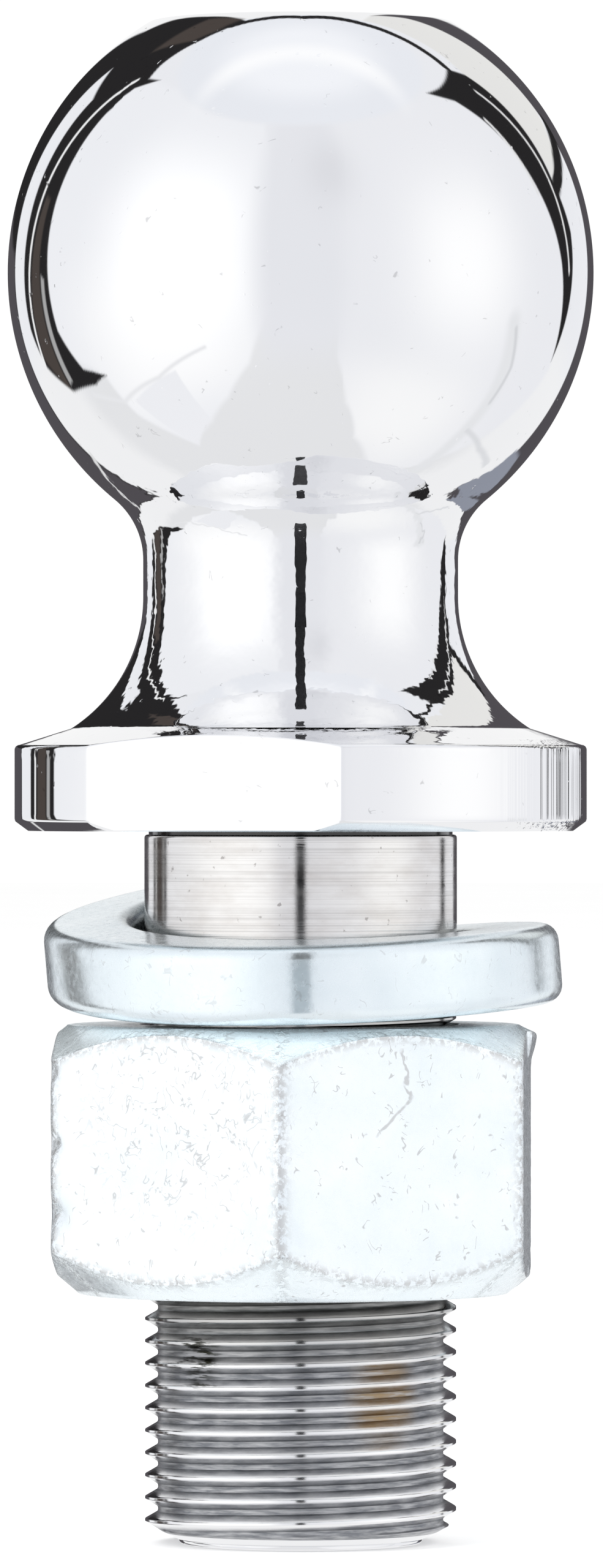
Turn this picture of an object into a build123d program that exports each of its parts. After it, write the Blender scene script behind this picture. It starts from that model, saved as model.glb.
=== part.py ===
"""Trailer hitch ball with its spring lock washer and hex nut, as three separate nodes.

Millimetres. The origin is the centre of the flange's underside, on the axis of the shank.
+Z points along the axis towards the ball, +X is the right-hand side and -Y is the front.
"""

import math
import os

from build123d import *

# Ball and neck
ball_radius = 23.8125
ball_centre_z = 45.3
top_flat_z = 65.75
top_rim_radius = 0.9
neck_radius = 12.8
neck_fillet_radius = 6.35
flare_radius = 12.7
flare_top_z = 19.0
flare_end_z = 8.3

# Flange with two wrench flats
flange_radius = 23.25
flange_cone_slope = math.tan(math.radians(17.5))
flange_edge_radius = 0.4
flange_chamfer_height = 0.8
flange_chamfer_width = 1.1
flat_distance = 20.6
flat_azimuth = -109.6

# Shank, with a relief groove sunk into the flange around its root
shank_radius = 12.7
relief_radius = 12.35
relief_height = 0.3
relief_outer_radius = 12.95
relief_depth = 0.25
shank_corner = 0.25
shank_end_z = -57.85
lead_top_radius = 11.15
lead_top_z = -56.9
lead_end_radius = 9.9
end_corner = 0.35

# Thread, 14 turns to the inch, right hand
pitch = 25.4 / 14
thread_major_radius = 12.65
thread_root_radius = 11.6
thread_top_z = -11.4
thread_shoulder_z = -56.1
crest_z_on_x_axis = -38.7
crest_width = pitch / 8
flank_slope = math.tan(math.radians(30))

# Hex nut
nut_top_z = -15.7
nut_bottom_z = -37.55
nut_across_flats = 38.1
nut_turn = -2.8
nut_offset_x = -0.6
nut_top_circle = 18.25
nut_top_angle = 37.5
nut_bottom_circle = 17.4
nut_bottom_angle = 40.0
nut_bore_radius = 11.83
nut_major_radius = 12.78
nut_mouth_radius = 13.1
flank_clearance = 0.08

# Spring lock washer, coiled left hand
washer_inner_radius = 13.4
washer_outer_radius = 20.85
washer_thickness = 6.4
washer_corner_radius = 1.4
washer_rise_per_turn = 6.5
washer_coil_angle = 354.0
washer_low_end_azimuth = 84.0
washer_lift_right = 4.7
washer_lift_back = 4.4
washer_shift_x = 0.2
washer_seat_gap = 0.02


def ring_point(radius, azimuth, z):
    """Point at a radius and an azimuth in degrees about the shank axis."""
    turn = math.radians(azimuth)
    return (radius * math.cos(turn), radius * math.sin(turn), z)


def arc_about(centre, radius, start, end):
    """Arc in the XZ plane about a centre (x, z), between two angles in degrees from +X."""
    points = []
    for angle in (start, (start + end) / 2, end):
        turn = math.radians(angle)
        points.append((centre[0] + radius * math.cos(turn), 0, centre[1] + radius * math.sin(turn)))
    return ThreePointArc(*points)


def line_through(*points):
    """Straight edges in the XZ plane through (x, z) points."""
    return Polyline(*[(x, 0, z) for x, z in points])


def end_of(edge):
    """Last point of an edge as (x, z)."""
    point = edge @ 1
    return (point.X, point.Z)


def helix_cutters(outline, turns, start_z):
    """Sweep an outline of (radius, height) points up a right-hand helix, as one solid for each turn."""
    mean_radius = sum(radius for radius, _ in outline) / len(outline)
    cutters = []
    for turn in range(turns):
        low = start_z + turn * pitch
        path = Helix(pitch=pitch, height=pitch, radius=mean_radius, center=(0, 0, low))
        points = [(radius, 0, low + height) for radius, height in outline]
        profile = make_face(Polyline(*points, close=True))
        cutters.append(sweep(profile, path=path, is_frenet=True))
    return cutters


def make_hitch_ball():
    """One forging: ball, neck, flange with two wrench flats, and threaded shank."""
    ball_centre = (0, ball_centre_z)

    # Rounded rim between the top flat and the sphere
    rim_centre_z = top_flat_z - top_rim_radius
    rim_reach = ball_radius - top_rim_radius
    rim_centre_x = math.sqrt(rim_reach**2 - (rim_centre_z - ball_centre_z) ** 2)
    rim_angle = math.degrees(math.atan2(rim_centre_z - ball_centre_z, rim_centre_x))
    top = line_through((0, top_flat_z), (rim_centre_x, top_flat_z))
    rim = arc_about((rim_centre_x, rim_centre_z), top_rim_radius, 90, rim_angle)

    # Sphere down to the concave fillet that runs into the neck
    fillet_x = neck_radius + neck_fillet_radius
    fillet_drop = math.sqrt((ball_radius + neck_fillet_radius) ** 2 - fillet_x**2)
    fillet_angle = math.degrees(math.atan2(-fillet_drop, fillet_x))
    sphere = arc_about(ball_centre, ball_radius, rim_angle, fillet_angle)
    fillet_centre = (fillet_x, ball_centre_z - fillet_drop)
    fillet = arc_about(fillet_centre, neck_fillet_radius, fillet_angle + 180, 180)

    # Neck, flare and sloping top of the flange
    flare_centre = (neck_radius + flare_radius, flare_top_z)
    flare_turn = math.degrees(math.asin((flare_top_z - flare_end_z) / flare_radius))
    neck = line_through((neck_radius, fillet_centre[1]), (neck_radius, flare_top_z))
    flare = arc_about(flare_centre, flare_radius, 180, 180 + flare_turn)
    crease = end_of(flare)
    edge_x = flange_radius - flange_edge_radius
    edge_z = crease[1] - (edge_x - crease[0]) * flange_cone_slope
    cone = line_through(crease, (edge_x, edge_z))
    edge = arc_about((edge_x, edge_z - flange_edge_radius), flange_edge_radius, 90, 0)

    # Rim, underside, relief and shank
    chamfer_x = flange_radius - flange_chamfer_width
    corner_z = -relief_height - shank_corner
    lower = line_through(
        (flange_radius, edge_z - flange_edge_radius),
        (flange_radius, flange_chamfer_height),
        (chamfer_x, 0),
        (relief_outer_radius, 0),
        (relief_outer_radius, relief_depth),
        (relief_radius, relief_depth),
        (relief_radius, -relief_height),
        (shank_radius - shank_corner, -relief_height),
        (shank_radius, corner_z),
        (shank_radius, thread_top_z),
        (thread_major_radius, thread_top_z - 0.05),
        (thread_major_radius, thread_shoulder_z),
        (lead_top_radius, lead_top_z),
        (lead_end_radius, shank_end_z + end_corner),
        (lead_end_radius - end_corner, shank_end_z),
        (0, shank_end_z),
        (0, top_flat_z),
    )
    outline = [top, rim, sphere, fillet, neck, flare, cone, edge, lower]
    blank = revolve(make_face(Curve() + outline), axis=Axis.Z)

    # Two opposite wrench flats on the flange only
    for azimuth in (flat_azimuth, flat_azimuth + 180):
        x, y, z = ring_point(flat_distance + 5, azimuth, 4)
        blank -= Pos(x, y, z) * Rot(0, 0, azimuth) * Box(10, 60, 12)

    # Thread groove between the crests, from below the end up to the run-out
    root_half = (pitch - crest_width) / 2 - (thread_major_radius - thread_root_radius) * flank_slope
    reach = 0.13
    mouth_half = (pitch - crest_width) / 2 + reach * flank_slope
    groove = [
        (thread_root_radius, -root_half),
        (thread_major_radius + reach, -mouth_half),
        (thread_major_radius + reach, mouth_half),
        (thread_root_radius, root_half),
    ]
    turns_below = math.ceil((crest_z_on_x_axis - shank_end_z) / pitch) + 1
    start_z = crest_z_on_x_axis - pitch / 2 - turns_below * pitch
    turns = math.floor((thread_top_z - pitch / 2 - start_z) / pitch)
    return blank - helix_cutters(groove, turns, start_z)


def make_hex_nut():
    """Hex nut, chamfered at both ends, with its internal thread."""
    height = nut_top_z - nut_bottom_z
    corner_radius = nut_across_flats / 2 / math.cos(math.radians(30))
    outer = corner_radius + 1
    hexagon = RegularPolygon(corner_radius, 6, rotation=30 + nut_turn)
    body = Pos(0, 0, nut_bottom_z) * extrude(hexagon, height)

    # Turned chamfers, as a barrel the hexagon is trimmed to
    top_drop = (outer - nut_top_circle) * math.tan(math.radians(nut_top_angle))
    bottom_drop = (outer - nut_bottom_circle) * math.tan(math.radians(nut_bottom_angle))
    barrel_outline = line_through(
        (0, nut_bottom_z),
        (nut_bottom_circle, nut_bottom_z),
        (outer, nut_bottom_z + bottom_drop),
        (outer, nut_top_z - top_drop),
        (nut_top_circle, nut_top_z),
        (0, nut_top_z),
        (0, nut_bottom_z),
    )
    body &= revolve(make_face(barrel_outline), axis=Axis.Z)
    body = Pos(nut_offset_x, 0, 0) * body

    # Bore with a countersink at each mouth
    mouth_depth = nut_mouth_radius - nut_bore_radius
    bore_outline = line_through(
        (0, nut_bottom_z - 1),
        (nut_mouth_radius + 1, nut_bottom_z - 1),
        (nut_bore_radius, nut_bottom_z + mouth_depth),
        (nut_bore_radius, nut_top_z - mouth_depth),
        (nut_mouth_radius + 1, nut_top_z + 1),
        (0, nut_top_z + 1),
        (0, nut_bottom_z - 1),
    )
    body -= revolve(make_face(bore_outline), axis=Axis.Z)

    # Internal thread: room for the crests of the shank with clearance on each flank
    tip_half = crest_width / 2 + flank_clearance - 0.06 * flank_slope
    inner = nut_bore_radius - 0.25
    inner_half = tip_half + (nut_major_radius - inner) * flank_slope
    ridge = [
        (inner, -inner_half),
        (nut_major_radius, -tip_half),
        (nut_major_radius, tip_half),
        (inner, inner_half),
    ]
    turns_below = math.ceil((crest_z_on_x_axis - nut_bottom_z) / pitch) + 2
    start_z = crest_z_on_x_axis - turns_below * pitch
    turns = math.ceil((nut_top_z - start_z) / pitch) + 1
    return body - helix_cutters(ridge, turns, start_z)


def make_lock_washer():
    """Split spring lock washer, coiled left hand and lying tilted on the nut."""
    mean_radius = (washer_inner_radius + washer_outer_radius) / 2
    width = washer_outer_radius - washer_inner_radius
    rise = washer_rise_per_turn * washer_coil_angle / 360
    path = Helix(
        pitch=washer_rise_per_turn,
        height=rise,
        radius=mean_radius,
        center=(0, 0, -rise / 2),
        lefthand=True,
    )
    plane = Plane(origin=path @ 0, x_dir=(1, 0, 0), z_dir=path % 0)
    section = plane * RectangleRounded(width, washer_thickness, washer_corner_radius)
    coil = sweep(section, path=path, is_frenet=True)
    coil = Rot(0, 0, washer_low_end_azimuth) * coil
    coil = Rot(washer_lift_back, -washer_lift_right, 0) * coil
    drop = nut_top_z + washer_seat_gap - coil.bounding_box().min.Z
    return Pos(washer_shift_x, 0, drop) * coil


nodes = {
    "hitch_ball": make_hitch_ball,
    "lock_washer": make_lock_washer,
    "hex_nut": make_hex_nut,
}

os.makedirs("parts", exist_ok=True)
for name, make in nodes.items():
    shape = make()
    shape.label = name
    export_step(shape, f"parts/{name}.step")
    print(name, "volume", round(shape.volume), "box", shape.bounding_box())
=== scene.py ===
import math

import bmesh
import bpy
import numpy as np
from mathutils import Euler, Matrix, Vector, noise


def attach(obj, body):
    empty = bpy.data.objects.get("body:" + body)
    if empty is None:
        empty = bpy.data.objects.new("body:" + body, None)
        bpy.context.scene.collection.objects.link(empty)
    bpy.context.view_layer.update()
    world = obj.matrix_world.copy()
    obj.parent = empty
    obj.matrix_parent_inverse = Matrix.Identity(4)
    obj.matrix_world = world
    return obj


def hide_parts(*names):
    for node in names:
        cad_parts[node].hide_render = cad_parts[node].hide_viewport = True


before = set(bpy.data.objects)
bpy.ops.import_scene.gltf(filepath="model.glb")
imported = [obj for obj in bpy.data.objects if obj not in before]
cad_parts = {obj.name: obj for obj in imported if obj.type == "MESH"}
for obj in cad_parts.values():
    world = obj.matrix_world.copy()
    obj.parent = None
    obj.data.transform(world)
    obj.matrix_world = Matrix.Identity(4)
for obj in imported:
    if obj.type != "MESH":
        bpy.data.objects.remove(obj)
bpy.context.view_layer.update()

MM = 0.001

# ---------------------------------------------------------------- dimensions, millimetres
BALL_R = 23.8085  # a hair under the CAD ball, so that the mesh stays inside its box
BALL_Z = 45.3
TOP_Z = 65.75
TOP_RIM_R = 0.9
NECK_R = 12.8
FILLET_R = 6.35
FLARE_R = 12.7
FLARE_TOP_Z = 19.0
FLARE_END_Z = 8.3
FLANGE_R = 23.25
CONE_SLOPE = math.tan(math.radians(17.5))
FLANGE_EDGE_R = 0.4
CHAMFER_H = 0.8
CHAMFER_W = 1.1
FLAT_D = 20.6
FLAT_AZ = -109.6
SHANK_R = 12.7
SHANK_CORNER = 0.25
RELIEF_R = 12.35
RELIEF_H = 0.3
RELIEF_OUT_R = 12.95
RELIEF_DEPTH = 0.25
SHANK_END_Z = -57.85
LEAD_TOP_R = 11.15
LEAD_TOP_Z = -56.9
LEAD_END_R = 9.9
END_CORNER = 0.35
PITCH = 25.4 / 14
MAJOR_R = 12.65
ROOT_R = 11.6
THREAD_TOP_Z = -11.4
SHOULDER_Z = -56.1
CREST_Z = -38.7
NUT_TOP = -15.7
NUT_BOTTOM = -37.55
NUT_AF = 38.1
NUT_CORNER_R = 22.0  # about how far the corners are from the centre
NUT_TURN = -2.8
NUT_OFFSET = -0.6
NUT_TOP_CIRCLE = 18.25
NUT_TOP_ANGLE = 37.5
NUT_BOTTOM_CIRCLE = 17.4
NUT_BOTTOM_ANGLE = 40.0
NUT_BORE_R = 11.83
NUT_MAJOR_R = 12.78
NUT_MOUTH_R = 13.1
WASHER_IN_R = 13.4
WASHER_OUT_R = 20.85
WASHER_T = 6.4
WASHER_CORNER = 1.4
WASHER_RISE = 6.5
WASHER_COIL = 354.0
WASHER_LOW_AZ = 84.0
WASHER_LIFT_RIGHT = 4.7
WASHER_LIFT_BACK = 4.4
WASHER_SHIFT_X = 0.2
WASHER_GAP = 0.02
FLANK = math.tan(math.radians(30))


# ---------------------------------------------------------------- mesh helpers
def azimuths():
    """Column angles in degrees: every 1.5, and closer at the four corners of the wrench flats."""
    base = set(np.arange(0, 360, 1.5).round(3))
    half = math.degrees(math.acos(FLAT_D / FLANGE_R))
    for centre in (FLAT_AZ, FLAT_AZ + 180):
        for side in (-half, half):
            for step in (-0.75, -0.45, -0.25, -0.1, 0.0, 0.1, 0.25, 0.45, 0.75):
                base.add(round((centre + side + step) % 360, 3))
    return np.array(sorted(base))


def arc(cx, cz, radius, start, end, count):
    """Points (r, z) on an arc, both ends included."""
    turn = np.radians(np.linspace(start, end, count + 1))
    return [(cx + radius * math.cos(t), cz + radius * math.sin(t)) for t in turn]


class Sheet:
    """Collects grids of points into one mesh, with a material index for each grid."""

    def __init__(self):
        self.points = []
        self.faces = []
        self.materials = []
        self.count = 0

    def grid(self, xyz, material=0, shift=0, closed=True):
        """xyz[row, column]. A closed grid joins its last column to the first one, shift rows on."""
        rows, columns = xyz.shape[:2]
        first = self.count
        self.points.append(xyz.reshape(-1, 3))
        self.count += rows * columns
        for j in range(rows - 1):
            for i in range(columns if closed else columns - 1):
                wrap = i == columns - 1
                i2 = 0 if wrap else i + 1
                j2 = j + shift if wrap else j
                if j2 + 1 >= rows:
                    continue
                self.faces.append((
                    first + j * columns + i,
                    first + j2 * columns + i2,
                    first + (j2 + 1) * columns + i2,
                    first + (j + 1) * columns + i,
                ))
                self.materials.append(material)
        return first

    def cap(self, indices, material=0):
        self.faces.append(tuple(indices))
        self.materials.append(material)

    def build(self, name, sharp=34.0, merge=0.0004):
        mesh = bpy.data.meshes.new(name)
        points = np.concatenate(self.points) * MM
        mesh.from_pydata(points.tolist(), [], self.faces)
        mesh.polygons.foreach_set("material_index", self.materials)
        bm = bmesh.new()
        bm.from_mesh(mesh)
        bmesh.ops.remove_doubles(bm, verts=bm.verts, dist=merge * MM)
        bmesh.ops.dissolve_degenerate(bm, edges=bm.edges, dist=merge * MM)
        loose = [v for v in bm.verts if not v.link_faces]
        bmesh.ops.delete(bm, geom=loose, context="VERTS")
        bmesh.ops.recalc_face_normals(bm, faces=bm.faces)
        for face in bm.faces:
            face.smooth = True
        limit = math.radians(sharp)
        for edge in bm.edges:
            edge.smooth = not (len(edge.link_faces) == 2 and edge.calc_face_angle(0) > limit)
        bm.to_mesh(mesh)
        bm.free()
        obj = bpy.data.objects.new(name, mesh)
        bpy.context.scene.collection.objects.link(obj)
        return obj


def mark(obj, name, values):
    """A value from 0 to 1 for each point, which the shader reads."""
    layer = obj.data.attributes.new(name, "FLOAT", "POINT")
    layer.data.foreach_set("value", np.asarray(values, dtype=np.float32))


def revolve_rows(rows, az, offset=None):
    """rows: (r, z) pairs where r and z are numbers or one value for each azimuth."""
    turn = np.radians(az)
    out = np.zeros((len(rows), len(az), 3))
    for j, (r, z) in enumerate(rows):
        out[j, :, 0] = r * np.cos(turn) + (0 if offset is None else offset[j])
        out[j, :, 1] = r * np.sin(turn)
        out[j, :, 2] = z
    return out


def thread_rows(samples, z_low, z_high, az, shape):
    """A spiral grid: samples are heights above a crest, within one pitch, and shape(sample, z) gives r."""
    first = math.floor((z_low - CREST_Z) / PITCH) - 2
    last = math.ceil((z_high - CREST_Z) / PITCH) + 2
    turn = np.radians(az)
    rows = []
    for k in range(first, last + 1):
        for w in samples:
            z = CREST_Z + PITCH * (k + az / 360) + w
            z = np.clip(z, z_low, z_high)
            r = shape(w, z)
            rows.append(np.stack([r * np.cos(turn), r * np.sin(turn), z], -1))
    return np.array(rows)


# ---------------------------------------------------------------- the forging
def forging():
    """Ball, neck, flange with its wrench flats, and threaded shank, as one mesh."""
    az = azimuths()
    sheet = Sheet()
    # distance to the rim or to the wrench flat, with a slightly rounded corner between them
    facing = np.maximum(
        np.cos(np.radians(az - FLAT_AZ)), np.cos(np.radians(az - FLAT_AZ - 180))
    )
    to_flat = FLAT_D / np.maximum(facing, 0.2)
    blur = 0.035
    limit = -blur * np.logaddexp(-FLANGE_R / blur, -to_flat / blur)
    cut = np.clip((FLANGE_R - limit) / 0.6, 0, 1)

    rows = [(r, TOP_Z) for r in (0, 1, 2, 3.5, 5, 6.5, 8, 9.5, 10.5)]
    cz = TOP_Z - TOP_RIM_R
    reach = BALL_R - TOP_RIM_R
    cx = math.sqrt(reach**2 - (cz - BALL_Z) ** 2)
    rim = math.degrees(math.atan2(cz - BALL_Z, cx))
    rows += arc(cx, cz, TOP_RIM_R, 90, rim, 6)[:-1]
    fx = NECK_R + FILLET_R
    drop = math.sqrt((BALL_R + FILLET_R) ** 2 - fx**2)
    low = math.degrees(math.atan2(-drop, fx))
    rows += arc(0, BALL_Z, BALL_R, rim, low, 84)
    rows += arc(fx, BALL_Z - drop, FILLET_R, low + 180, 180, 18)[1:]
    rows += [(NECK_R, z) for z in (21.5, 20.6, 19.8)]
    end = math.degrees(math.asin((FLARE_TOP_Z - FLARE_END_Z) / FLARE_R))
    rows += arc(NECK_R + FLARE_R, FLARE_TOP_Z, FLARE_R, 180, 180 + end, 30)
    crease_r, crease_z = rows[-1]

    # sloping top of the flange, out to its rounded edge
    corner = FLANGE_EDGE_R + (0.16 - FLANGE_EDGE_R) * cut
    edge_r = limit - corner
    for share in (0.02, 0.06, 0.15, 0.3, 0.5, 0.7, 0.85, 0.95, 1.0):
        r = crease_r + (edge_r - crease_r) * share
        rows.append((r, crease_z - (r - crease_r) * CONE_SLOPE))
    edge_z = rows[-1][1]
    for turn in (72, 54, 36, 18, 0):
        t = math.radians(turn)
        rows.append((edge_r + corner * math.cos(t), edge_z - corner + corner * math.sin(t)))
    chamfer = np.maximum(CHAMFER_W - (FLANGE_R - limit), 0.14)
    chamfer_h = chamfer * CHAMFER_H / CHAMFER_W
    top = edge_z - corner
    for share in (0.03, 0.1, 0.25, 0.5, 0.75, 0.9, 0.97):
        rows.append((limit, top + (chamfer_h - top) * share))
    rows.append((limit - chamfer * 0.05, chamfer_h * 0.98))
    rows.append((limit - chamfer * 0.12, chamfer_h * 0.89))
    rows.append((limit - chamfer * 0.9, chamfer_h * 0.1))
    rows.append((limit - chamfer, 0.0))
    for share in (0.03, 0.2, 0.4, 0.6, 0.8, 1.0):
        rows.append((limit - chamfer + (RELIEF_OUT_R - limit + chamfer) * share, 0.0))
    sheet.grid(revolve_rows(rows, az), 0)

    # relief, rounded shoulder and plain shank
    rows = [(RELIEF_OUT_R, 0.0), (RELIEF_OUT_R, RELIEF_DEPTH), (RELIEF_R, RELIEF_DEPTH)]
    rows += [(RELIEF_R, -RELIEF_H * 0.5), (RELIEF_R, -RELIEF_H), (SHANK_R - SHANK_CORNER, -RELIEF_H)]
    sheet.grid(revolve_rows(rows, az), 2)
    rows = arc(SHANK_R - SHANK_CORNER, -RELIEF_H - SHANK_CORNER, SHANK_CORNER, 90, 0, 4)
    rows += [(SHANK_R, z) for z in np.linspace(-0.9, THREAD_TOP_Z, 10)]
    sheet.grid(revolve_rows(rows, az), 1)

    # thread: run-out at the top, trimmed by the turned lead at the bottom
    crest_half = PITCH / 16
    slope_run = (MAJOR_R - ROOT_R) * FLANK
    root_half = PITCH / 2 - crest_half - slope_run
    samples = [0, crest_half * 0.75, crest_half + 0.03]
    samples += [crest_half + slope_run * s for s in (0.25, 0.5, 0.75, 0.94)]
    samples += [PITCH / 2 - root_half * 0.45]
    samples = samples + [PITCH - s for s in reversed(samples) if s > 0]

    def outside(w, z):
        from_crest = min(w, PITCH - w)
        depth = max(0.0, from_crest - crest_half) / FLANK
        depth = min(depth, MAJOR_R - ROOT_R)
        if crest_half * 0.9 < from_crest < crest_half * 1.6:
            depth = max(depth, 0.03)
        fade = np.clip((THREAD_TOP_Z - z) / (PITCH * 1.1), 0, 1)
        fade = fade * fade * (3 - 2 * fade)
        blank = SHANK_R + (MAJOR_R - SHANK_R) * np.clip((THREAD_TOP_Z - z) / 0.8, 0, 1)
        lead = LEAD_TOP_R + (z - LEAD_TOP_Z) * (MAJOR_R - LEAD_TOP_R) / (SHOULDER_Z - LEAD_TOP_Z)
        return np.minimum(blank - depth * fade, lead)

    spiral = thread_rows(samples, LEAD_TOP_Z, THREAD_TOP_Z, az, outside)
    sheet.grid(spiral, 2, shift=len(samples))

    # turned lead and end face
    rows = [(LEAD_TOP_R, LEAD_TOP_Z)]
    side_end = (LEAD_END_R, SHANK_END_Z + END_CORNER)
    for share in (0.25, 0.5, 0.75, 1.0):
        rows.append((
            LEAD_TOP_R + (side_end[0] - LEAD_TOP_R) * share,
            LEAD_TOP_Z + (side_end[1] - LEAD_TOP_Z) * share,
        ))
    rows += arc(LEAD_END_R - END_CORNER, SHANK_END_Z + END_CORNER, END_CORNER, 0, -90, 4)[1:]
    rows += [(r, SHANK_END_Z) for r in (8, 6, 4, 2.4)]
    rows += [(1.9, SHANK_END_Z + 0.5), (1.2, SHANK_END_Z + 1.1), (0, SHANK_END_Z + 1.3)]
    sheet.grid(revolve_rows(rows, az), 0)
    return sheet.build("hitch_ball_forging")


# ---------------------------------------------------------------- the nut
def nut():
    """Hex nut with its chamfers, countersunk mouths and internal thread."""
    az = np.arange(0, 360, 1.0)
    sheet = Sheet()
    sharpness = 90.0
    total = np.zeros(len(az))
    for k in range(6):
        facing = np.cos(np.radians(az - NUT_TURN - 60 * k))
        total += np.maximum(facing / (NUT_AF / 2), 1e-9) ** sharpness
    hexagon = total ** (-1 / sharpness)

    top_z = NUT_TOP - (hexagon - NUT_TOP_CIRCLE) * math.tan(math.radians(NUT_TOP_ANGLE))
    low_z = NUT_BOTTOM + (hexagon - NUT_BOTTOM_CIRCLE) * math.tan(math.radians(NUT_BOTTOM_ANGLE))
    edge_round = 0.035
    rows = []
    offset = []

    def add(r, z, share=1.0):
        rows.append((r, z))
        offset.append(NUT_OFFSET * share)

    for share in (0, 0.25, 0.5, 0.75):
        add(NUT_MOUTH_R + (NUT_TOP_CIRCLE - NUT_MOUTH_R) * share, NUT_TOP, share)
    add(NUT_TOP_CIRCLE - 0.15, NUT_TOP)
    add(NUT_TOP_CIRCLE + 0.1, NUT_TOP - 0.05)
    for share in (0.15, 0.3, 0.45, 0.6, 0.75, 0.88, 0.96):
        r = NUT_TOP_CIRCLE + 0.1 + (hexagon - NUT_TOP_CIRCLE - 0.1) * share
        add(r, NUT_TOP - (r - NUT_TOP_CIRCLE) * math.tan(math.radians(NUT_TOP_ANGLE)))
    for share in (0.006, 0.02, 0.04, 0.07):
        add(hexagon - (edge_round if share < 0.01 else 0), top_z + (low_z - top_z) * share)
    for share in np.linspace(0.1, 0.9, 40):
        add(hexagon, top_z + (low_z - top_z) * share)
    for share in (0.93, 0.96, 0.98, 0.994):
        add(hexagon - (edge_round if share > 0.99 else 0), top_z + (low_z - top_z) * share)
    for share in (0.96, 0.88, 0.75, 0.6, 0.45, 0.3, 0.15):
        r = NUT_BOTTOM_CIRCLE + 0.1 + (hexagon - NUT_BOTTOM_CIRCLE - 0.1) * share
        add(r, NUT_BOTTOM + (r - NUT_BOTTOM_CIRCLE) * math.tan(math.radians(NUT_BOTTOM_ANGLE)))
    add(NUT_BOTTOM_CIRCLE + 0.1, NUT_BOTTOM + 0.05)
    add(NUT_BOTTOM_CIRCLE - 0.15, NUT_BOTTOM)
    for share in (0.75, 0.5, 0.25, 0):
        add(NUT_MOUTH_R + (NUT_BOTTOM_CIRCLE - NUT_MOUTH_R) * share, NUT_BOTTOM, share)
    add(NUT_MAJOR_R, NUT_BOTTOM + NUT_MOUTH_R - NUT_MAJOR_R, 0)
    grid = revolve_rows(rows, az, offset)

    # knocks and unevenness of a plated forging, strongest along the edges
    corner_from = 20.6
    corner_run = 1.4
    for j in range(4, len(rows) - 6):
        for i in range(len(az)):
            p = Vector(grid[j, i])
            near_corner = max(0.0, (hexagon[i] - corner_from) / corner_run)
            rough = noise.noise(p * 0.9) * 0.5 + noise.noise(p * 2.3) * 0.5
            amount = 0.02 + 0.14 * near_corner
            grid[j, i, :2] *= 1 - max(rough, 0) * amount / 20
    # metal pushed outwards at the right-hand corner, and dings in the left-hand edge
    side = grid[4:-6]
    right = np.exp(-((az - 17) / 20) ** 2)
    for depth, reach in ((NUT_TOP - side[:, :, 2], 0.045), (side[:, :, 2] - NUT_BOTTOM, 0.02)):
        bulge = np.clip(depth / 0.7, 0, 1) * np.clip((3.2 - depth) / 2.5, 0, 1)
        side[:, :, :2] *= 1 + (bulge * right * reach)[..., None]
    for ding_az, ding_z, ding_size in ((207.2, -25.1, 0.8), (207.6, -30.7, 1.1), (206.6, -19.3, 0.7)):
        away = np.hypot(np.radians(az - ding_az) * NUT_CORNER_R, side[:, :, 2] - ding_z) / ding_size
        side[:, :, :2] *= 1 - (0.022 * np.exp(-(away**2)))[..., None]
    sheet.grid(grid, 0)

    looseness = 0.045
    crest_half = PITCH / 16 + looseness
    slope_run = (NUT_MAJOR_R - NUT_BORE_R) * FLANK
    samples = [0, crest_half * 0.9]
    samples += [crest_half + slope_run * s for s in (0.33, 0.66, 1.0)]
    samples += [PITCH - s for s in reversed(samples) if s > 0]

    def inside(w, z):
        from_crest = min(w, PITCH - w)
        depth = min(max(0.0, from_crest - crest_half) / FLANK, NUT_MAJOR_R - NUT_BORE_R)
        lower = NUT_MOUTH_R - (z - NUT_BOTTOM)
        upper = NUT_MOUTH_R - (NUT_TOP - z)
        return np.maximum(NUT_MAJOR_R - depth, np.maximum(lower, upper))

    low = NUT_BOTTOM + (NUT_MOUTH_R - NUT_MAJOR_R)
    high = NUT_TOP - (NUT_MOUTH_R - NUT_MAJOR_R)
    rows = [(NUT_MOUTH_R, NUT_TOP), (NUT_MAJOR_R, high)]
    sheet.grid(revolve_rows(rows, az), 1)
    sheet.grid(thread_rows(samples, low, high, az, inside), 1, shift=len(samples))
    body = sheet.build("hex_nut_body")

    # where the shader wears the plate: along the chamfers' edges and the six corners
    points = np.array([v.co for v in body.data.vertices]) / MM
    x = points[:, 0] - NUT_OFFSET
    turn = np.degrees(np.arctan2(points[:, 1], x))
    z = points[:, 2]
    outer = np.interp(turn % 360, az, hexagon, period=360)
    drop_top = (outer - NUT_TOP_CIRCLE) * math.tan(math.radians(NUT_TOP_ANGLE))
    drop_low = (outer - NUT_BOTTOM_CIRCLE) * math.tan(math.radians(NUT_BOTTOM_ANGLE))
    above = z - (NUT_TOP - drop_top)
    below = (NUT_BOTTOM + drop_low) - z
    from_corner = np.abs((turn - NUT_TURN) % 60 - 30) * math.radians(1) * NUT_CORNER_R
    edges = ((above, 0.45), (below, 0.45), (from_corner, 0.6))
    wear = sum(np.exp(-((away / reach) ** 2)) for away, reach in edges)
    faces_from = 16.5
    outside = np.hypot(x, points[:, 1]) > faces_from
    mark(body, "wear", np.clip(wear, 0, 1) * outside)
    # the chamfers, where the shader paints a highlight and makes the plate less metallic
    turned = np.clip(above / 0.15, 0, 1) + 0.5 * np.clip(below / 0.15, 0, 1)
    mark(body, "chamfer", turned * outside)
    return body


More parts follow.
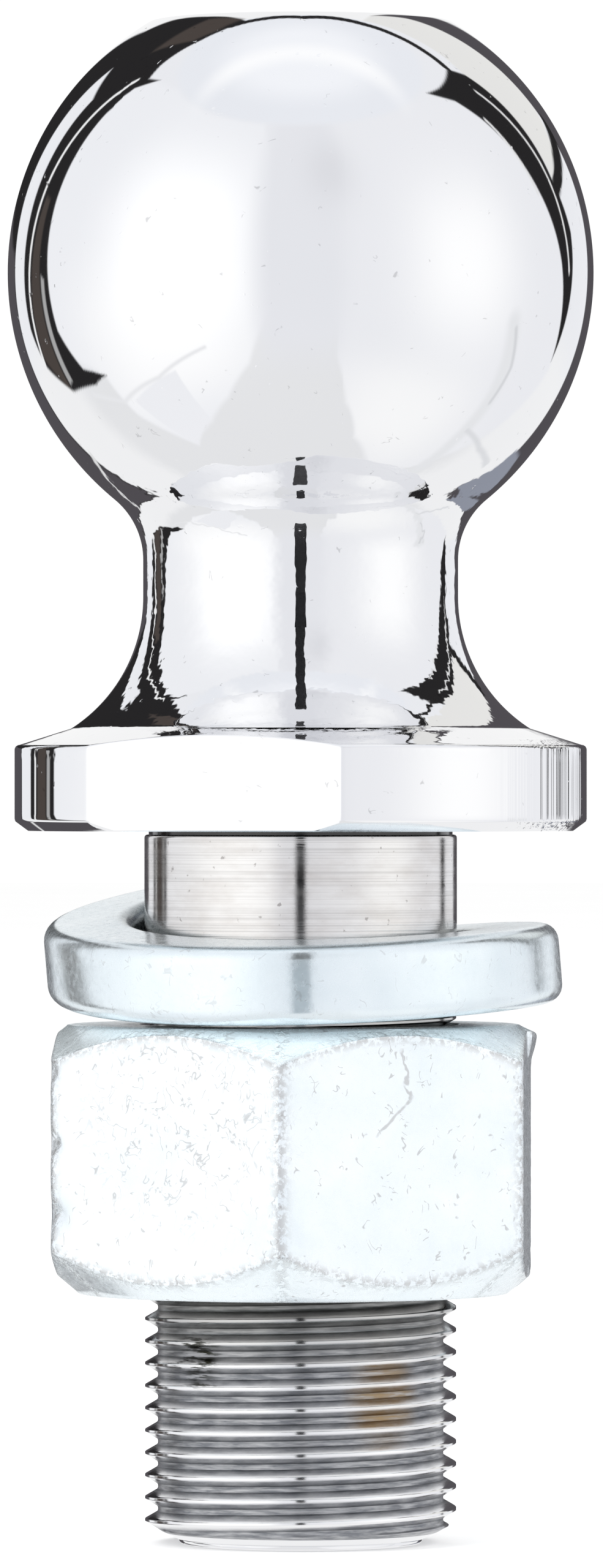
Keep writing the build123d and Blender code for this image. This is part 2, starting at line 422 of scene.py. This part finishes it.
# ---------------------------------------------------------------- the spring lock washer
def washer():
    """Split spring lock washer, coiled left hand and lying tilted on the nut."""
    mean = (WASHER_IN_R + WASHER_OUT_R) / 2
    half_w = (WASHER_OUT_R - WASHER_IN_R) / 2
    half_t = WASHER_T / 2
    section = []
    for sx, sz, start in ((1, 1, 0), (-1, 1, 90), (-1, -1, 180), (1, -1, 270)):
        cx = sx * (half_w - WASHER_CORNER)
        cz = sz * (half_t - WASHER_CORNER)
        section += arc(cx, cz, WASHER_CORNER, start, start + 90, 7)
        nx, nz = section[-1]
        if sz * sx > 0:
            steps = [(nx * (1 - 2 * s), nz) for s in (0.15, 0.32, 0.5, 0.68, 0.85)]
            steps = [(x * (half_w - WASHER_CORNER) / abs(nx), nz) for x, nz in steps]
        else:
            steps = [(nx, nz * (1 - 2 * s)) for s in (0.2, 0.4, 0.6, 0.8)]
        section += steps
    section = np.array(section)
    rise = WASHER_RISE * WASHER_COIL / 360
    rings_between = 240
    rings = []
    plan = [(0.0, 0.93), (0.0008, 0.985)]
    plan += [(t, 1.0) for t in np.linspace(0.0022, 0.9978, rings_between)]
    plan += [(0.9992, 0.985), (1.0, 0.93)]
    for t, size in plan:
        angle = math.radians(WASHER_LOW_AZ - WASHER_COIL * t)
        radial = Vector((math.cos(angle), math.sin(angle), 0))
        along = Vector((math.sin(angle), -math.cos(angle), 0)) * math.radians(WASHER_COIL) * mean
        along.z = rise
        along.normalize()
        up = radial.cross(along)
        if up.z < 0:
            up.negate()
        centre = radial * mean + Vector((0, 0, -rise / 2 + rise * t))
        rings.append([centre + radial * (a * size) + up * (b * size) for a, b in section])
    tilt = Euler((math.radians(WASHER_LIFT_BACK), 0, 0)).to_matrix()
    tilt = tilt @ Euler((0, math.radians(-WASHER_LIFT_RIGHT), 0)).to_matrix()
    grid = np.array([[tuple(tilt @ p) for p in ring] for ring in rings])
    grid[:, :, 2] += NUT_TOP + WASHER_GAP - grid[:, :, 2].min()
    grid[:, :, 0] += WASHER_SHIFT_X
    # a soft unevenness of the coiled bar
    for ring in grid:
        for p in ring:
            push = noise.noise(Vector(p) * 0.22) * 0.05 + noise.noise(Vector(p) * 0.8) * 0.025
            p[:2] *= 1 - max(push, 0) / 20
    sheet = Sheet()
    rows = grid.transpose(1, 0, 2)
    rows = np.concatenate([rows, rows[:1]])
    first = sheet.grid(rows, 0, closed=False)
    columns = rows.shape[1]
    ends = len(section)
    sheet.cap([first + j * columns for j in range(ends)])
    sheet.cap([first + j * columns + columns - 1 for j in reversed(range(ends))])
    return sheet.build("lock_washer_coil")


# ---------------------------------------------------------------- materials
class Shader:
    """A material's nodes. Inputs are numbers, colours or (node, output) pairs."""

    def __init__(self, name):
        self.material = bpy.data.materials.new(name)
        self.material.use_nodes = True
        self.tree = self.material.node_tree
        self.tree.nodes.clear()
        self.out = self.tree.nodes.new("ShaderNodeOutputMaterial")
        self.bsdf = self.tree.nodes.new("ShaderNodeBsdfPrincipled")
        self.tree.links.new(self.bsdf.outputs[0], self.out.inputs[0])
        self.where = self.tree.nodes.new("ShaderNodeTexCoord")

    def put(self, socket, value):
        if isinstance(value, tuple) and hasattr(value[0], "outputs"):
            self.tree.links.new(value[0].outputs[value[1]], socket)
        else:
            socket.default_value = value

    def add(self, kind, inputs=(), **settings):
        made = self.tree.nodes.new("ShaderNode" + kind)
        for key, value in settings.items():
            setattr(made, key, value)
        for key, value in dict(inputs).items():
            self.put(made.inputs[key], value)
        return made

    def stretch(self, x, y, z):
        """Object coordinates scaled, in features a metre."""
        made = self.add("Mapping", {0: (self.where, "Object")})
        made.inputs["Scale"].default_value = (x, y, z)
        return (made, 0)

    def noise(self, vector, scale=1.0, detail=2.0, rough=0.5, distort=0.0):
        made = self.add("TexNoise", {
            "Vector": vector, "Scale": scale, "Detail": detail,
            "Roughness": rough, "Distortion": distort,
        })
        return (made, "Fac")

    def ramp(self, value, *stops):
        """Stops are (position, colour or grey)."""
        made = self.add("ValToRGB", {0: value})
        ramp = made.color_ramp
        while len(ramp.elements) < len(stops):
            ramp.elements.new(0.5)
        for element, (place, colour) in zip(ramp.elements, stops):
            element.position = place
            grey = isinstance(colour, (int, float))
            element.color = (colour, colour, colour, 1) if grey else (*colour, 1)
        return (made, 0)

    def math(self, operation, a, b=0.0, clamp=False):
        made = self.add("Math", {0: a, 1: b}, operation=operation)
        made.use_clamp = clamp
        return (made, 0)

    def mix(self, factor, a, b, blend="MIX"):
        made = self.add("MixRGB", {0: factor, 1: a, 2: b}, blend_type=blend)
        return (made, 0)

    def bump(self, height, strength, distance, under=None):
        inputs = {"Height": height, "Strength": strength, "Distance": distance}
        made = self.add("Bump", inputs)
        if under is not None:
            self.put(made.inputs["Normal"], under)
        return (made, 0)

    def height(self):
        """Object z in metres."""
        return (self.add("SeparateXYZ", {0: (self.where, "Object")}), "Z")

    def radius(self):
        """Distance from the shank's axis in metres."""
        flat = self.add("VectorMath", {0: (self.where, "Object")}, operation="MULTIPLY")
        flat.inputs[1].default_value = (1, 1, 0)
        return (self.add("VectorMath", {0: (flat, 0)}, operation="LENGTH"), "Value")

    def between(self, value, low, high):
        """0 at low and 1 at high, clamped."""
        made = self.add("MapRange", {0: value, 1: low, 2: high}, interpolation_type="SMOOTHSTEP")
        return (made, 0)

    def spot(self, x, y, z, reach):
        """1 at a place on the object and 0 farther away than reach, all in metres."""
        away = self.add("VectorMath", {0: (self.where, "Object")}, operation="DISTANCE")
        away.inputs[1].default_value = (x, y, z)
        return self.between((away, "Value"), reach, reach * 0.35)

    def scratches(self, turn, level):
        """Thin curling marks: contour lines of a noise, kept only where a second noise is high."""
        turned = self.add("Mapping", {0: (self.where, "Object")})
        turned.inputs["Rotation"].default_value = turn
        turned.inputs["Scale"].default_value = (420, 700, 420)
        path = self.noise((turned, 0), detail=2, rough=0.6, distort=0.7)
        away = self.math("ABSOLUTE", self.math("SUBTRACT", path, 0.5))
        broken = self.noise((turned, 0), scale=1.7, detail=2)
        kept = self.between(broken, level, level + 0.05)
        return self.math("MULTIPLY", self.between(away, 0.016, 0.005), kept)

    def gouge(self, start, end, wobble):
        """A ragged scratch between two places on the object, in metres."""
        a, b = Vector(start), Vector(end)
        place = self.add("VectorMath", {0: (self.where, "Object"), 1: wobble}, operation="ADD")
        side = (b - a).normalized()
        to_start = self.add("VectorMath", {0: (place, 0)}, operation="SUBTRACT")
        to_start.inputs[1].default_value = a
        along = self.add("VectorMath", {0: (to_start, 0)}, operation="DOT_PRODUCT")
        along.inputs[1].default_value = side
        across = self.add("VectorMath", {0: (to_start, 0)}, operation="CROSS_PRODUCT")
        across.inputs[1].default_value = side
        off = (self.add("VectorMath", {0: (across, 0)}, operation="LENGTH"), "Value")
        reach = (b - a).length
        inside = self.math("MULTIPLY", self.between((along, "Value"), -0.0003, 0.0002),
                           self.between((along, "Value"), reach + 0.0003, reach - 0.0002))
        return self.math("MULTIPLY", inside, self.between(off, 0.0002, 0.00008))

    def finish(self, **inputs):
        for key, value in inputs.items():
            self.put(self.bsdf.inputs[key.replace("_", " ")], value)
        return self.material


def rgba(r, g, b):
    return (r, g, b, 1.0)


def chrome():
    s = Shader("polished_chrome")
    smear = s.noise(s.stretch(60, 60, 60), detail=3)
    wave = s.noise(s.stretch(90, 90, 90), detail=1)
    normal = s.bump(wave, 0.05, 0.0004)
    # the neck and flare are less finely polished than the ball
    height = s.height()
    rough_zone = s.math("MULTIPLY", s.between(height, 0.031, 0.027), s.between(height, 0.0055, 0.0065))
    ripple = s.noise(s.stretch(520, 520, 620), detail=2, rough=0.5)
    normal = s.bump(s.math("MULTIPLY", ripple, rough_zone), 0.13, 0.0003, normal)
    # upright chatter marks on the right of the flange's rim
    chatter = s.noise(s.stretch(1900, 1900, 6), detail=2)
    rim = s.math("MULTIPLY", s.between(s.radius(), 0.0212, 0.0216), s.spot(0.0202, -0.0115, 0.0035, 0.0085))
    normal = s.bump(s.math("MULTIPLY", chatter, rim), 0.6, 0.00016, normal)
    pits = s.ramp(s.noise(s.stretch(1100, 1100, 1100), detail=2), (0.72, 0.0), (0.78, 1.0))
    normal = s.bump(pits, 0.15, 0.00006, normal)
    scratch = s.scratches((0.5, 0.3, 0.9), 0.66)
    colour = s.mix(smear, rgba(0.88, 0.885, 0.895), rgba(0.92, 0.92, 0.93))
    colour = s.mix(s.math("MULTIPLY", scratch, 0.45), colour, rgba(0.35, 0.35, 0.36))
    rough = s.ramp(smear, (0.3, 0.015), (0.8, 0.045))
    return s.finish(Base_Color=colour, Metallic=1.0, Roughness=rough, Normal=normal)


def turned_steel():
    s = Shader("turned_steel")
    lines = s.noise(s.stretch(25, 25, 7000), detail=4, rough=0.6)
    broad = s.noise(s.stretch(60, 60, 900), detail=3)
    stain = s.noise(s.stretch(160, 160, 420), detail=5, rough=0.6)
    colour = s.mix(s.ramp(stain, (0.42, 0.0), (0.75, 0.7)), rgba(0.83, 0.82, 0.81), rgba(0.60, 0.56, 0.53))
    colour = s.mix(s.ramp(lines, (0.36, 0.5), (0.55, 0.0)), colour, rgba(0.50, 0.49, 0.48))
    specks = s.ramp(s.noise(s.stretch(1500, 1500, 1500), detail=3), (0.68, 0.0), (0.73, 0.7))
    colour = s.mix(specks, colour, rgba(0.30, 0.28, 0.27))
    normal = s.bump(lines, 0.30, 0.00003)
    normal = s.bump(broad, 0.12, 0.0001, normal)
    rough = s.ramp(broad, (0.3, 0.09), (0.7, 0.17))
    return s.finish(Base_Color=colour, Metallic=1.0, Roughness=rough, Normal=normal)


def thread_steel():
    s = Shader("thread_steel")
    depth = s.between(s.radius(), ROOT_R * MM, MAJOR_R * MM)
    grime = s.noise(s.stretch(420, 420, 4200), detail=4, rough=0.6)
    # painted shade in the thread roots, broken up by grime: darker towards the roots
    root_shade_and_grime = s.ramp(depth, (0.0, 0.9), (0.25, 0.55), (0.62, 0.18), (0.9, 0.0))
    root_shade_and_grime = s.math("MULTIPLY", root_shade_and_grime, s.ramp(grime, (0.35, 0.6), (0.6, 1.0)))
    colour = s.mix(root_shade_and_grime, rgba(0.92, 0.92, 0.925), rgba(0.14, 0.15, 0.17))
    # painted shadow of the nut: the turns from just below the nut upwards are darker, and one patch on the
    # right is stained brown
    nut_shadow = s.math("MULTIPLY", s.between(s.height(), -0.0445, -0.0385), 0.5)
    colour = s.mix(nut_shadow, colour, rgba(0.17, 0.165, 0.14))
    inner = s.ramp(depth, (0.1, 1.0), (0.9, 0.25))
    stain = s.math("MULTIPLY", s.spot(0.0074, -0.0102, -0.0458, 0.0046), inner)
    stain = s.math("MULTIPLY", stain, s.ramp(grime, (0.35, 0.35), (0.6, 1.0)))
    colour = s.mix(stain, colour, rgba(0.36, 0.26, 0.15))
    # black specks of old grease on the left
    grease = s.spot(-0.0088, -0.0091, -0.0424, 0.0032)
    grease = s.math("MULTIPLY", grease, s.ramp(grime, (0.50, 0.0), (0.55, 1.0)))
    colour = s.mix(grease, colour, rgba(0.03, 0.03, 0.02))
    # the relief under the flange stays in the dark
    shade = s.math("MULTIPLY", s.between(s.height(), -0.0007, -0.0005), 0.9)
    colour = s.mix(shade, colour, rgba(0.02, 0.02, 0.02))
    fine = s.noise(s.stretch(300, 300, 9000), detail=3)
    normal = s.bump(fine, 0.2, 0.00004)
    rough = s.ramp(depth, (0.0, 0.35), (0.5, 0.2), (0.9, 0.12))
    return s.finish(Base_Color=colour, Metallic=1.0, Roughness=rough, Normal=normal)


def on_nut_face(face, x, z):
    """Place in metres on one of the nut's faces, from x and z in millimetres."""
    turn = math.radians(NUT_TURN + face)
    y = (NUT_AF / 2 - (x - NUT_OFFSET) * math.cos(turn)) / math.sin(turn)
    return (x * MM, y * MM, z * MM)


def zinc(name, light, dark, scale, marks, metal, nut_marks=False):
    """Bright zinc plate. marks is how strongly scratches and worn edges show.

    nut_marks adds the two deep scratches and the less metallic chamfers, which only the nut has."""
    s = Shader(name)
    cloud = s.noise(s.stretch(scale, scale, scale), detail=4, rough=0.55)
    grain = s.noise(s.stretch(2400, 2400, 2400), detail=3)
    colour = s.mix(s.ramp(cloud, (0.35, 0.0), (0.72, 1.0)), light, dark)
    # plate rubbed thin along the edges, in specks
    wear = (s.add("Attribute", attribute_name="wear"), "Fac")
    speck = s.noise(s.stretch(1900, 1900, 1900), detail=3, rough=0.65)
    worn = s.math("MULTIPLY", wear, s.ramp(speck, (0.44, 0.0), (0.56, 1.0)))
    colour = s.mix(s.math("MULTIPLY", worn, 0.8 * marks), colour, rgba(0.50, 0.50, 0.50))
    # painted highlight: the nut's chamfers are lightened towards pale blue
    turned = (s.add("Attribute", attribute_name="chamfer"), "Fac")
    colour = s.mix(s.math("MULTIPLY", turned, 0.8), colour, rgba(0.88, 0.97, 1.0))
    # scratches and dings from handling
    scratch = s.math("MAXIMUM", s.scratches((0.6, 0.2, 1.1), 0.60), s.scratches((2.1, 0.7, 0.3), 0.60))
    crowd = s.spot(-0.0095, -0.0170, -0.0225, 0.0125)
    crowded = s.math("MAXIMUM", s.scratches((1.3, 0.4, 0.9), 0.50), s.scratches((0.2, 0.9, 0.5), 0.52))
    scratch = s.math("MAXIMUM", scratch, s.math("MULTIPLY", crowd, crowded))
    metallic = metal
    if nut_marks:
        metallic = s.math("SUBTRACT", metal, s.math("MULTIPLY", turned, 0.22))
        # a deep hooked scratch on the right-hand face and a short one on the left-hand face
        wander = 0.0022
        jitter = s.noise(s.stretch(700, 700, 700), detail=2)
        jitter = s.math("MULTIPLY", s.math("SUBTRACT", jitter, 0.5), wander)
        wobble = (s.add("CombineXYZ", {0: jitter, 2: jitter}), 0)
        for face, start, end in (
            (-60, (8.2, -17.2), (8.7, -21.5)),
            (-60, (8.7, -21.5), (6.3, -24.0)),
            (-120, (-4.6, -23.1), (-3.7, -22.0)),
        ):
            places = [on_nut_face(face, x, z) for x, z in (start, end)]
            scratch = s.math("MAXIMUM", scratch, s.gouge(*places, wobble))
    colour = s.mix(s.math("MULTIPLY", scratch, 0.6 * marks), colour, rgba(0.40, 0.39, 0.39))
    # painted shade in the hole: darker towards the bore of the washer and the nut
    bore_shade = s.between(s.radius(), 0.0152, 0.0138)
    colour = s.mix(s.math("MULTIPLY", bore_shade, 0.8), colour, rgba(0.10, 0.12, 0.12))
    normal = s.bump(grain, 0.18, 0.00003)
    normal = s.bump(cloud, 0.2, 0.0003, normal)
    normal = s.bump(worn, 0.35, 0.0001, normal)
    rough = s.ramp(speck, (0.3, 0.17), (0.75, 0.34))
    return s.finish(Base_Color=colour, Metallic=metallic, Roughness=rough, Normal=normal)


# ---------------------------------------------------------------- studio
def studio_dome():
    """What the metal sees around it: two big softboxes, a top diffuser and the dark gaps between them.

    Azimuth is in degrees from the camera's side, positive to the right, and elevation is above level."""
    step = 0.5
    az = np.radians(np.arange(-180, 180 + step / 2, step))
    el = np.radians(np.arange(-90, 90 + step / 2, step))
    A, E = np.meshgrid(az, el)
    a, e = np.degrees(A), np.degrees(E)
    level = np.ones(A.shape + (3,)) * (0.90, 0.91, 0.94)

    def soft(x, width):
        t = np.clip(x / width + 0.5, 0, 1)
        return t * t * (3 - 2 * t)

    def paint(mask, colour):
        colour = np.array(colour if hasattr(colour, "__len__") else (colour,) * 3)
        level[:] = level + (colour - level) * mask[..., None]

    def patch(points, edge=0.8):
        """A polygon through (azimuth, elevation) corners, with a soft edge."""
        away = np.full(A.shape, 1e9)
        inside = np.zeros(A.shape, bool)
        for (x0, y0), (x1, y1) in zip(points, points[1:] + points[:1]):
            dx, dy = x1 - x0, y1 - y0
            t = np.clip(((a - x0) * dx + (e - y0) * dy) / (dx * dx + dy * dy), 0, 1)
            away = np.minimum(away, np.hypot(a - x0 - t * dx, e - y0 - t * dy))
            if dy:
                crossed = (y0 > e) != (y1 > e)
                inside ^= crossed & (a < x0 + (e - y0) * dx / dy)
        return soft(np.where(inside, away, -away), edge)

    def line(points, width, edge=0.5):
        """A band along a polyline."""
        mask = np.zeros(A.shape)
        for (x0, y0), (x1, y1) in zip(points, points[1:]):
            dx, dy = x1 - x0, y1 - y0
            t = np.clip(((a - x0) * dx + (e - y0) * dy) / (dx * dx + dy * dy), 0, 1)
            away = np.hypot(a - x0 - t * dx, e - y0 - t * dy)
            mask = np.maximum(mask, soft(width / 2 - away, edge))
        return mask

    def glow(x, y, reach_x, reach_y, power=2.0):
        return np.exp(-(np.abs((a - x) / reach_x) ** power) - np.abs((e - y) / reach_y) ** power)

    black = (0.022, 0.021, 0.022)
    brown = (0.075, 0.062, 0.056)
    smoke = (0.085, 0.079, 0.088)

    # table in front and below, and the paler table behind
    paint(soft(-(e + 22), 16), (0.845, 0.85, 0.862))
    paint(soft(-(e + 8), 10) * soft(np.abs(a) - 118, 14), (0.95, 0.952, 0.958))
    # left softbox with its hot centre
    left_box = [
        (-122, 50), (-95, 57), (-22, 57), (-14, 44), (-12, 8), (-13, -16), (-24, -36),
        (-40, -48), (-59, -55), (-84, -58), (-96, -40), (-98, -26), (-116, -15), (-122, 10),
    ]
    paint(patch(left_box, 3.0), (0.93, 0.94, 0.97))
    paint(glow(-62, -22, 40, 24, 3.0) * patch(left_box, 3.0), 1.06)
    paint(glow(-50, 8, 31, 33, 2.6), 1.22)
    paint(patch([(-91, -37), (-60, -34), (-58, -54), (-83, -59)], 1.2), (0.93, 0.937, 0.965))
    # right softbox, dimmer
    right_box = [
        (13, 46), (20, 57), (95, 56), (108, 48), (124, 4), (131, -14), (118, -40),
        (104, -62), (82, -71), (45, -65), (27, -52), (16, -33), (13, 0),
    ]
    paint(patch(right_box, 3.0), (0.905, 0.912, 0.942))
    paint(glow(60, -52, 42, 20, 3.0) * patch(right_box, 3.0), 1.02)
    paint(glow(68, 4, 25, 27, 2.4), 1.10)
    # grey band between the softboxes, darkest high up on the right
    band = soft(17 - np.abs(a), 14) * soft(e + 34, 26) * soft(58 - e, 6)
    paint(band, (0.862, 0.87, 0.905))
    paint(glow(13, 38, 11, 13), (0.79, 0.797, 0.83))
    # top diffuser, with a bright strip across the very top
    paint(soft(e - 57.5, 3), (0.885, 0.905, 0.95))
    paint(soft(e - 70, 14), (0.98, 0.995, 1.03))
    side = np.cos(E) * np.sin(A) / np.maximum(np.sin(E), 0.05)
    front = np.cos(E) * np.cos(A) / np.maximum(np.sin(E), 0.05)
    strip = soft(0.5 - np.abs(side), 0.5) * soft(0.07 - np.abs(front + 0.05 - side**2 * 0.6), 0.16)
    paint(strip * (e > 40) * 0.8, 1.10)

    # white backdrop behind, framed by the dark room
    paint(patch([(-181, 62), (-165, 60.5), (-158, 58), (-160, 45), (-165, 25), (-176, 5), (-181, 3)]), 0.97)
    paint(patch([
        (181, 62), (165, 60.5), (158, 58), (160, 50), (163, 40), (170, 20), (177, 4), (181, 3),
    ]), 0.97)
    paint(patch([
        (-181, 3), (-176, 5), (-165, 25), (-160.5, 45), (-159, 60.5), (-148, 59.5), (-140, 57.5),
        (-127.5, 51), (-121, 49), (-114, 52.5), (-121, 45), (-119, 17), (-116, -10), (-109, -21),
        (-97, -26.5), (-107, -26), (-123, -21.5), (-135, -12), (-139, -5), (-139, 31), (-150, 31),
        (-152, 10), (-151, -15), (-143, -42), (-149, -43), (-181, 0),
    ]), black)
    paint(patch([(-181, 3), (-168, 6), (-153, 5), (-152, -15), (-144, -42), (-150, -42), (-181, 0)]), smoke)
    paint(patch([(-160, 58), (-148, 58), (-141, 55), (-143, 44), (-158, 48)], 2.5), brown)
    paint(patch([(-134, -11), (-128, 16), (-124, 16), (-124, -21)], 1.5), brown)
    paint(line([(-126, 45), (-131, 18), (-135.5, -11)], 1.6), 0.95)
    paint(patch([(-123, -20), (-120, -20), (-120.5, 1), (-123, 2)]), 0.42)
    paint(line([(-165, -19), (-147.5, -22)], 1.2), 0.8)
    paint(line([(-181, 64), (-165, 62), (-152, 59.5)], 2.4), black)

    # right: dark wedge with two light slits, beige wall above a dark shelf, dark room behind
    beige = (0.855, 0.85, 0.83)
    paint(patch([(130, 44), (145, 52), (158, 58), (162, 50), (160, 39), (156, 19), (132, 17)]), beige)
    paint(patch([
        (181, 3), (177, 4), (170, 20), (163.5, 40), (161, 52), (159.5, 39), (156, 19), (155, 8),
        (153, -5), (151, -18), (143, -36), (146, -38), (153, -30), (181, 0),
    ]), smoke)
    paint(patch([(143, -37), (149, -20), (157, -15), (165, -13), (152, -31)]), (0.29, 0.31, 0.37))
    paint(patch([
        (95, 55.5), (106, 53), (127, 49.5), (131, 44), (131.5, 18), (135.5, 9), (130, -12.5),
        (124, 4), (117, 19), (109, 40), (105, 48),
    ]), black)
    paint(line([(111, 39), (115.5, 19)], 1.3), 0.85)
    paint(line([(124, 42), (128, 22), (130.5, 3)], 1.2), 0.85)
    paint(line([(131, 16.5), (144, 17), (157, 16)], 3.2), black)
    paint(line([(128, 49.5), (135, 53), (145, 57), (155, 60), (181, 64.5)], 2.6), black)

    # creases of the table's cover, and a curtain's edge low on the right
    paint(line([(96, -12), (103, -30), (107, -45), (112, -58)], 6.5, 5), (0.86, 0.868, 0.885))
    paint(line([(98, -13), (104, -22), (105, -32)], 1.6, 1.2), (0.72, 0.73, 0.75))
    paint(line([(107, -41), (125, -37), (140, -31)], 1.4, 1.0), (0.78, 0.79, 0.81))
    paint(line([(-112, -27), (-97, -35), (-70, -34.5), (-42, -28)], 1.2, 1.2), (0.88, 0.885, 0.90))

    radius = 1.5
    centre_z = 0.02
    points = np.stack([
        radius * np.sin(A) * np.cos(E),
        -radius * np.cos(A) * np.cos(E),
        centre_z + radius * np.sin(E),
    ], -1).reshape(-1, 3)
    rows, columns = A.shape
    j, i = np.meshgrid(np.arange(rows - 1), np.arange(columns - 1), indexing="ij")
    corner = (j * columns + i).reshape(-1)
    faces = np.stack([corner, corner + 1, corner + columns + 1, corner + columns], -1)
    mesh = bpy.data.meshes.new("studio_dome")
    mesh.from_pydata(points.tolist(), [], faces.tolist())
    colours = mesh.color_attributes.new("level", "FLOAT_COLOR", "POINT")
    packed = np.concatenate([level.reshape(-1, 3), np.ones((points.shape[0], 1))], -1)
    colours.data.foreach_set("color", packed.astype(np.float32).reshape(-1))
    dome = bpy.data.objects.new("studio_dome", mesh)
    bpy.context.scene.collection.objects.link(dome)
    material = bpy.data.materials.new("studio_dome")
    material.use_nodes = True
    tree = material.node_tree
    tree.nodes.clear()
    out = tree.nodes.new("ShaderNodeOutputMaterial")
    light = tree.nodes.new("ShaderNodeEmission")
    read = tree.nodes.new("ShaderNodeVertexColor")
    read.layer_name = "level"
    tree.links.new(read.outputs["Color"], light.inputs["Color"])
    tree.links.new(light.outputs[0], out.inputs[0])
    material.cycles.emission_sampling = "NONE"
    mesh.materials.append(material)
    dome.visible_camera = False
    dome.visible_diffuse = False
    dome.visible_shadow = False
    dome.visible_transmission = False
    return dome


def cloth(name, dark, light):
    """Matt material for the strips."""
    s = Shader(name)
    tone = s.noise(s.stretch(300, 300, 300))
    return s.finish(Base_Color=s.mix(tone, rgba(*dark), rgba(*light)), Roughness=1.0)


def flags():
    """Narrow dark strips close in front, which draw the dark line down the part.

    The camera doesn't see them, and they cast no shadow."""
    black = cloth("black_flag", (0.01, 0.01, 0.01), (0.03, 0.03, 0.035))
    grey = cloth("grey_flag", (0.42, 0.45, 0.48), (0.52, 0.55, 0.58))
    for name, material, width, low, high in (
        ("flag_neck", black, 1.4, (-18.8, 18.4), (-15.8, 22.2)),
        ("flag_flare", black, 1.0, (-13.4, 16.5), (-14.55, 19.2)),
        ("flag_shank", black, 2.2, (-24.0, -9.0), (-24.0, -0.4)),
        ("flag_washer", grey, 2.0, (-24.0, -17.0), (-24.0, -9.1)),
        ("flag_thread", black, 2.4, (-27.0, -57.5), (-27.0, -37.8)),
    ):
        corners = [
            (side * width / 2 * MM, y * MM, z * MM)
            for side, (y, z) in ((-1, low), (1, low), (1, high), (-1, high))
        ]
        mesh = bpy.data.meshes.new(name)
        mesh.from_pydata(corners, [], [(0, 1, 2, 3)])
        mesh.materials.append(material)
        flag = bpy.data.objects.new(name, mesh)
        bpy.context.scene.collection.objects.link(flag)
        flag.visible_camera = False
        flag.visible_diffuse = False
        flag.visible_shadow = False
        flag.visible_transmission = False


def studio_floor():
    """Pale floor just under the shank's end, which reflections don't show."""
    size = 6.0
    clearance = 0.00002
    z = SHANK_END_Z * MM - clearance
    corners = [(x * size, y * size, z) for x, y in ((-1, -1), (1, -1), (1, 1), (-1, 1))]
    mesh = bpy.data.meshes.new("studio_floor")
    mesh.from_pydata(corners, [], [(0, 1, 2, 3)])
    floor = bpy.data.objects.new("studio_floor", mesh)
    bpy.context.scene.collection.objects.link(floor)
    s = Shader("pale_floor")
    tone = s.noise(s.stretch(6, 6, 6), detail=2)
    colour = s.mix(tone, rgba(0.93, 0.93, 0.93), rgba(0.95, 0.95, 0.95))
    mesh.materials.append(s.finish(Base_Color=colour, Roughness=1.0, Specular_IOR_Level=0.0))
    floor.visible_glossy = False


def lights():
    """Even white surroundings, which reflections don't show, and two soft lamps."""
    world = bpy.data.worlds.new("studio")
    bpy.context.scene.world = world
    world.use_nodes = True
    ground = world.node_tree.nodes["Background"]
    ground.inputs["Color"].default_value = (1, 1, 1, 1)
    ground.inputs["Strength"].default_value = 1.05
    world.cycles_visibility.glossy = False
    for name, place, size, power in (
        ("key_left", (-0.9, -0.7, 0.9), 0.9, 14),
        ("key_right", (0.9, -0.7, 0.9), 0.9, 10),
    ):
        data = bpy.data.lights.new(name, "AREA")
        data.shape = "SQUARE"
        data.size = size
        data.energy = power
        lamp = bpy.data.objects.new(name, data)
        lamp.location = place
        aim = Vector((0, 0, 0)) - Vector(place)
        lamp.rotation_euler = aim.to_track_quat("-Z", "Y").to_euler()
        lamp.visible_camera = False
        lamp.visible_glossy = False
        bpy.context.scene.collection.objects.link(lamp)


def camera():
    """Level camera in front of the part."""
    distance = 0.9
    across = 0.00007
    height = 0.0038
    seen_height = 0.1274
    data = bpy.data.cameras.new("camera")
    data.sensor_fit = "VERTICAL"
    data.sensor_height = 36
    data.lens = 36 * distance / seen_height
    data.clip_start = 0.01
    obj = bpy.data.objects.new("camera", data)
    obj.location = (across, -distance, height)
    obj.rotation_euler = (math.radians(90), 0, 0)
    bpy.context.scene.collection.objects.link(obj)
    bpy.context.scene.camera = obj


# ---------------------------------------------------------------- put together
def dress(obj, node, body, slot, *materials):
    """Give a piece its materials, attach it to its body and hide the CAD node it replaces. The slot
    argument is not used.
    """
    for material in materials:
        obj.data.materials.append(material)
    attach(obj, body)
    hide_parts(node)


plate = zinc(
    "bright_zinc", rgba(0.86, 0.905, 0.935), rgba(0.775, 0.84, 0.88),
    scale=160, marks=1.0, metal=0.84, nut_marks=True,
)
spring = zinc(
    "washer_zinc", rgba(0.84, 0.905, 0.935), rgba(0.745, 0.825, 0.865),
    scale=130, marks=0.5, metal=0.9,
)
dress(forging(), "hitch_ball", "ball", "ball_chrome", chrome(), turned_steel(), thread_steel())
dress(nut(), "hex_nut", "nut", "nut_zinc", plate, thread_steel())
dress(washer(), "lock_washer", "washer", "washer_zinc", spring)
studio_dome()
flags()
studio_floor()
lights()
camera()
bpy.context.scene.view_settings.view_transform = "Standard"
